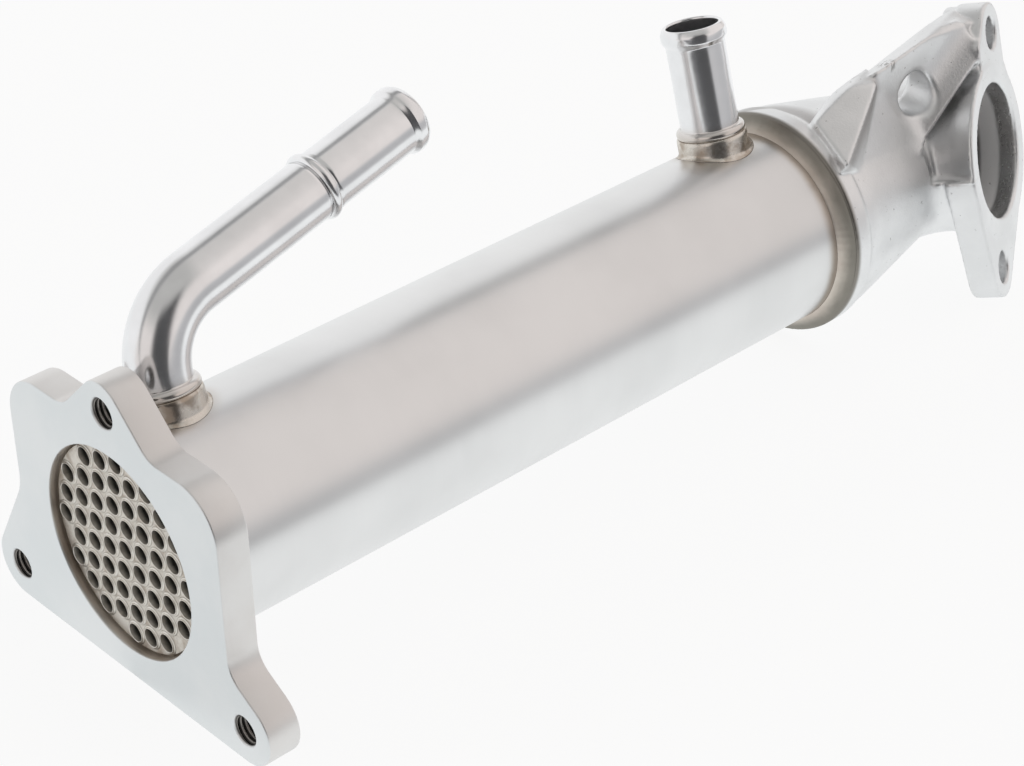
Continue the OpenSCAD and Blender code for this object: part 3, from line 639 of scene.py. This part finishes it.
def casting_gap(points):
    """Signed distance of the casting, below 0 in the metal: plain bodies joined by smooth minima, then bored out."""
    x, y, z = points.T
    radius = np.hypot(y, z)
    from_face = points - outlet_face
    u, v, behind = from_face @ outlet_across, from_face @ port_up, -(from_face @ outlet_out)
    out = np.hypot(u, v)
    from_corner = np.linalg.norm(points - corner, axis=1)
    along_neck = np.abs(behind - neck_long / 2) - neck_long / 2
    # The gas way: a narrowing cone, a ball at the corner and a straight neck.
    way = most(radius - way_r + (x - way_first) * way_fall, x - corner[0], 0.5)
    way = least(way, from_corner - way_ball_r, 2)
    way = least(way, most(out - way_neck_r, along_neck, 0.5), 2)
    # The outside: a collar round the shell, then cone, ball and neck as round the way.
    slope = 1 / np.hypot(1, cone_fall)
    collar = most(np.abs(x - collar_mid) - collar_half, radius - collar_r, 0.9)
    cone = most((radius - cone_r + cone_fall * (x - cone_x)) * slope, radius - cone_top_r, 1.5)
    cone = most(most(cone, x - cone_last, 0.5), cone_first - x, 0.5)
    ball = from_corner - ball_r
    neck = most((out - neck_r + neck_fall * behind) * 0.99, along_neck + 0.05, 0.5)
    # Between rib, parting line and the edge of the outlet face, cone and flange are sunk to a hollow round the neck,
    # no deeper than leaves a wall round the gas way.
    hollow = most(most(262 - x, parting_v - v, 0.5), most(y + 8, u + 4, 0.5), 0.5)
    hollow = most(hollow, most(24.9 - 0.45 * behind - out, way_wall - way, 1.5), 3)
    flange = most(flange_gap(u, v), np.abs(behind - outlet_thick / 2) - outlet_thick / 2, 0.8)
    boss = most(np.hypot(u - lobe[0], v - lobe[1]) - bolt_boss_r, np.abs(behind - 6.5) - 6, 1.0)
    # Blocks by their corners: the web stands on cone and neck, the wedge braces it from the collar, the slant
    # fills the place below it, and the rib runs up from the cone to the boss of the upper bolt hole.
    web = block(points, [[250.2, -11, 38.8], [273.2, -11, 42.8], [288.2, -11, 41.8], [243.2, -6.5, 33.8],
                         [255.2, -6.5, 35.8], [278.2, -6.5, 42.0], [288.2, -6.5, 43.0], [250.2, -11, 14],
                         [288.2, -11, 14], [243.2, -6.5, 14], [288.2, -6.5, 14]], 1.5, 0.2)
    wedge = block(points, [[226.8, -10.5, 32.9], wedge_foot, [226.0, -9.0, 29.0], [223.6, -21.5, 21.5],
                           [240.2, -10.2, 38.2], [243.1, -11.9, 38.5], [246.4, -14.1, 38.5], [250.0, -11.6, 35.4],
                           [232.2, -21.9, 20.0], [232, -8, 24], [250.5, -6, 24], [228, -7.5, 31],
                           [238.5, -6.5, 36.4], [250.5, -7.5, 39.6]], 0.4, 0.15)
    slant = block(points, [[249.6, -12.1, 36.3], [262.2, -11.7, 25], [231.6, -22.2, 20.3], [245.2, -21.7, 15.6],
                           [261.2, -18.2, 15.5], [250.2, -9, 18], [265.2, -11.7, 14], [238, -16, 17]], 0.4, 0.12)
    rib = block(points, [[288.5, -18.6, 37.1], [261.2, -18.8, 15.2], [284.0, -12, 42.2], [257.2, -12, 20.2],
                         [291.4, -9, 33.4], [264.1, -9, 11.5]], 0.5, 0.3)
    rib = most(rib, 0.5 - behind, 0.3)
    near_side = least(least(web, slant, 2.5), rib, 4.0)
    body = least(least(cone, ball, 5), neck, 5)
    body = least(least(body, collar, 1.2), flange, 1.2)
    body = most(body, -hollow, 0.6)
    body = least(body, least(near_side, boss, 2), 1.0)
    body = least(body, wedge, 0.5)
    # What is cut: the shell's socket, the way, the machined mouth of the bore, the bolt holes and the web's hole.
    socket = most(radius - seat_r, x - socket_end, 0.2)
    bore = most(out - bore_r, behind - bore_long, 0.4)
    from_bolt = np.hypot(u * np.sign(v) - lobe[0], np.abs(v) - lobe[1])
    holes = most(from_bolt - bolt_hole_r, behind - bolt_hole_long, 0.4)
    through = most(np.hypot(x - web_hole_x, z - web_hole_z) - web_hole_r, y + 4, 0.5)
    for cut, edge in ((socket, 0.6), (way, 0.8), (bore, 1.0), (holes, 0.7), (through, 1.4)):
        body = most(body, -cut, edge)
    return body


def skin(low, high, step, gap):
    """Surface net: a point in every grid cell that the zero level crosses, a face round every crossed grid edge.

    Each point starts at the mean of its cell's crossings and then slides along the gradient onto the level.
    """
    size = np.ceil((high - low) / step).astype(int) + 1
    i, j, k = np.meshgrid(*[np.arange(n) for n in size], indexing="ij")
    spots = low + step * np.stack([i.ravel(), j.ravel(), k.ravel()], 1)
    level = np.concatenate([gap(part) for part in np.array_split(spots, 40)]).reshape(size)
    metal = level < 0
    filled = sum(metal[a:size[0] - 1 + a, b:size[1] - 1 + b, c:size[2] - 1 + c].astype(np.int8)
                 for a in (0, 1) for b in (0, 1) for c in (0, 1))
    cells = np.argwhere((filled > 0) & (filled < 8))
    number = np.full(filled.shape, -1)
    number[tuple(cells.T)] = np.arange(len(cells))
    total, count = np.zeros((len(cells), 3)), np.zeros((len(cells), 1))
    faces = []
    for axis in range(3):
        unit = np.eye(3, dtype=int)[axis]
        p, q = np.eye(3, dtype=int)[(axis + 1) % 3], np.eye(3, dtype=int)[(axis + 2) % 3]
        for shift in (0 * p, p, q, p + q):
            a, b = level[tuple((cells + shift).T)], level[tuple((cells + shift + unit).T)]
            crossed = ((a < 0) != (b < 0))[:, None]
            share = np.where(crossed, (a / np.where(a == b, 1, a - b))[:, None], 0)
            total += np.where(crossed, shift + share * unit, 0)
            count += crossed
        ahead = np.roll(metal, -1, axis)
        edges = np.argwhere(metal != ahead)
        edges = edges[((edges > 0) | (unit > 0)).all(1) & (edges < size - 1).all(1)]
        ring = np.stack([number[tuple((edges - back).T)] for back in (p + q, q, 0 * p, p)], 1)
        leaving = metal[tuple(edges.T)]
        faces.append(np.where(leaving[:, None], ring, ring[:, ::-1]))
    points = low + step * (cells + total / count)
    for _ in range(4):
        here = gap(points)
        grade = np.stack([gap(points + 0.02 * e) - gap(points - 0.02 * e) for e in np.eye(3)], 1) / 0.04
        pull = here[:, None] * grade / np.maximum((grade ** 2).sum(1, keepdims=True), 0.2)
        points = points - np.clip(pull, -0.3, 0.3)
    return points, np.concatenate(faces)


def along(way, steps):
    """How far a place lies along a direction: the sum of its three steps times the direction's parts."""
    return sum(float(part) * step for part, step in zip(way, steps))


cast_finish, shader, place, (x, y, z) = new_finish("cast_steel")
cloud = place.noise(place, 14, 4)
grain = place.noise(place, 0.7, 3, 0.65)
pits = place.noise(place, 1.3, 2).within(0.30, 0.24)
from_face = [at - float(start) for at, start in zip((x, y, z), outlet_face)]
across, up, deep = [along(way, from_face) for way in (outlet_across, port_up, -outlet_out)]
out = (across * across + up * up) ** 0.5
# A fine line of flash is left along the parting of the mould.
from_parting = up - parting_v
flash = from_parting.maths("ABSOLUTE", from_parting).within(0.45, 0.15) * x.within(262, 266) * out.within(20.5, 21.5)
# The bore is machined and a little darker. Part way in lies a ring of rough cast wall: its dull finish is real, and its
# near-white colour is a painted reflection.
in_bore = out.within(bore_r + 0.55, bore_r + 0.25)
rough_wall_and_painted_light = in_bore * deep.within(4.6, 6.2) * deep.within(11.8, 10.2)
bored = in_bore * deep.within(0.3, 0.8)
# Painted shade: the hollow by the neck and the valley beside the wedge are darkened in the colour, as the shade in
# these recesses.
hollow = (x.within(263, 266) * up.within(-0.9, 0.3) * out.within(26, 25.2) * y.within(-8, -10)
          * deep.within(0.3, 1.5) * across.within(-6, -12))
wedge_side, wedge_crest = (0.444, 0.125, -0.888), (0.812, 0.3635, 0.456)
from_foot = [at - start for at, start in zip((x, y, z), wedge_foot)]
beside, crest = along(wedge_side, from_foot), along(wedge_crest, from_foot)
valley_shade = (beside.within(-0.2, 0.6) * beside.within(6, 1.5) * crest.within(-2, 1) * crest.within(31, 28)
          * z.within(16, 18))
tone = cloud.within(0.3, 0.7).blend(rgb(0.77, 0.775, 0.78), rgb(0.84, 0.845, 0.85))
# Painted shade in the hollow and the valley.
tone = (0.2 * hollow + 0.8 * valley_shade).blend(tone, rgb(0.43, 0.415, 0.41))
# A rough dark nick on the top of the web, and painted shade on the collar beside the weld, in the corner where they
# meet.
nick = ((x - 255) ** 2 + (z - 41) ** 2) ** 0.5
nick = nick.within(2.6, 1.0) * place.noise(stretched(place, 1, 1, 0.3), 0.8, 2).within(0.5, 0.58)
# Painted reflection: the ring of cast wall in the bore is drawn near white and only a little metallic.
tone = rough_wall_and_painted_light.blend(bored.blend(tone, rgb(0.6, 0.6, 0.6)), rgb(0.95, 0.95, 0.95))
tone = (0.7 * nick).blend(tone, rgb(0.22, 0.21, 0.20))
# Painted shade: the collar's colour is drawn dark next to the weld.
scale = x.within(223.6, 221.9).blend(tone, rgb(0.26, 0.245, 0.22))
feed(shader, Base_Color=(pits * 0.6).blend(scale, rgb(0.34, 0.33, 0.32)),
     Metallic=1.0 - 0.85 * rough_wall_and_painted_light, Roughness=0.32 + 0.14 * grain + 0.4 * rough_wall_and_painted_light - 0.1 * bored,
     Normal=bumped(place, grain - 0.9 * pits + 1.4 * flash, 0.06))
low, high = np.array(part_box("outlet_elbow")) * 1000
skin_margin, skin_step = 0.9, 0.7
points, face = skin(low - skin_margin, high + skin_margin, skin_step, casting_gap)
piece("outlet_casting", points, [face], cast_finish, ["outlet_elbow"])

# Camera, floor and light
# Pale paper in a white tent, lit evenly through its cloth. The tent is open towards the camera, where the room is
# dark and a dark figure stands. They, a seam in the roof and the edge of the paper draw the streaks along the metal,
# and all of them are fitted to the photo. The camera itself sees the paper and the tent as plain white.
sensor_wide, image_wide, focal = 36.0, 1024, 2642.2
camera_at = np.array([-264.295, -423.396, 358.375])
floor_z, floor_slope, floor_half = -0.0351, 3.2 / 280, 3
view_turn, view_rise, view_roll = np.radians([-42.501, 32.594, 1.056])
back = np.array([np.sin(view_turn) * np.cos(view_rise), -np.cos(view_turn) * np.cos(view_rise), np.sin(view_rise)])
right = np.cross(-back, [0, 0, 1])
right /= np.linalg.norm(right)
down = np.cross(-back, right)
image_right = np.cos(view_roll) * right + np.sin(view_roll) * down
image_down = -np.sin(view_roll) * right + np.cos(view_roll) * down
camera = bpy.data.objects.new("camera", bpy.data.cameras.new("camera"))
camera.data.sensor_width, camera.data.lens = sensor_wide, sensor_wide * focal / image_wide
placed = np.eye(4)
placed[:3, :3] = np.stack([image_right, -image_down, back], 1)
placed[:3, 3] = camera_at * 0.001
camera.matrix_world = Matrix(placed.tolist())
bpy.context.scene.collection.objects.link(camera)
bpy.context.scene.camera = camera

floor_mesh = bpy.data.meshes.new("floor")
edge = floor_half * np.array([[-1, -1], [1, -1], [1, 1], [-1, 1]])
floor_mesh.from_pydata(np.concatenate([edge, floor_z + floor_slope * edge[:, :1]], 1), [], [[0, 1, 2, 3]])
floor = bpy.data.objects.new("floor", floor_mesh)
bpy.context.scene.collection.objects.link(floor)
paper = bpy.data.materials.new("floor_paper")
paper.use_nodes = True
tree = paper.node_tree
tree.nodes.clear()
seen = Signal(tree).into("LightPath", {}, {}, "Is Camera Ray")
mirrored = Signal(tree).into("LightPath", {}, {}, "Is Glossy Ray")
spot = seen.into("TexCoord", {}, {}, "Object")
spot_x, spot_y = [spot.into("SeparateXYZ", {}, {0: spot}, i) for i in range(2)]
# In the metal the paper is white near the object, and past its front edge the room shows, darkest behind the camera.
past_edge = spot_y.within(-0.16, -0.25)
room = spot_x.within(0.24, 0.14).blend(rgb(0.52, 0.52, 0.53), rgb(0.105, 0.105, 0.108))
shown = seen.blend(past_edge.blend(rgb(0.985, 1.0, 1.0), room), rgb(1, 1, 1))
matte = seen.into("BsdfDiffuse", {}, {"Color": rgb(0.98, 0.98, 0.98)})
white = seen.into("Emission", {}, {"Color": shown, "Strength": 1.0})
mixed = seen.into("MixShader", {}, {0: seen * 0.9 + mirrored, 1: matte, 2: white})
mixed.into("OutputMaterial", {}, {0: mixed})
floor_mesh.materials.append(paper)

world = bpy.data.worlds.new("tent")
bpy.context.scene.world = world
world.use_nodes = True
tree = world.node_tree
tree.nodes.clear()
path = Signal(tree)
camera_ray = path.into("LightPath", {}, {}, "Is Camera Ray")
sky = path.into("TexCoord", {}, {}, "Generated")
east, north, rise = [path.into("SeparateXYZ", {}, {0: sky}, i) for i in range(3)]
front = 0.0 - north
# Bearing counts from the front towards the right, lift from the front over the top, both in degrees.
bearing = east.maths("ARCTAN2", east, front) * (180 / np.pi)
lift = rise.maths("ARCTAN2", rise, front) * (180 / np.pi)
# Warm cloth in front and white cloth behind, then what is darker: the roof's left, the horizon, the seam, the room.
tone = front.within(-0.2, -0.5).blend(rgb(0.86, 0.81, 0.785), rgb(0.98, 0.98, 0.98))
top_left = rise.within(0.5, 0.8) * east.within(0.45, 0.05)
tone = top_left.blend(tone, rgb(0.53, 0.525, 0.51))
horizon = front.within(0.1, 0.4) * rise.within(0.16, 0.0)
tone = horizon.blend(tone, rgb(0.56, 0.56, 0.57))
seam = lift.within(110, 116) * lift.within(131, 125)
tone = seam.blend(tone, rgb(0.33, 0.33, 0.33))
room = bearing.within(-64, -42) * bearing.within(3, -1) * rise.within(0.34, 0.14)
person = bearing.within(-64, -46) * bearing.within(6, -8) * rise.within(0.86, 0.68) * rise.within(0.0, 0.2)
tone = (room + person).blend(tone, rgb(0.085, 0.085, 0.087))
shown = camera_ray.blend(tone, rgb(1, 1, 1))
tent = path.into("Background", {}, {"Color": shown, "Strength": 1.0})
tent.into("OutputWorld", {}, {0: tent})

bpy.context.scene.view_settings.view_transform = "Standard"
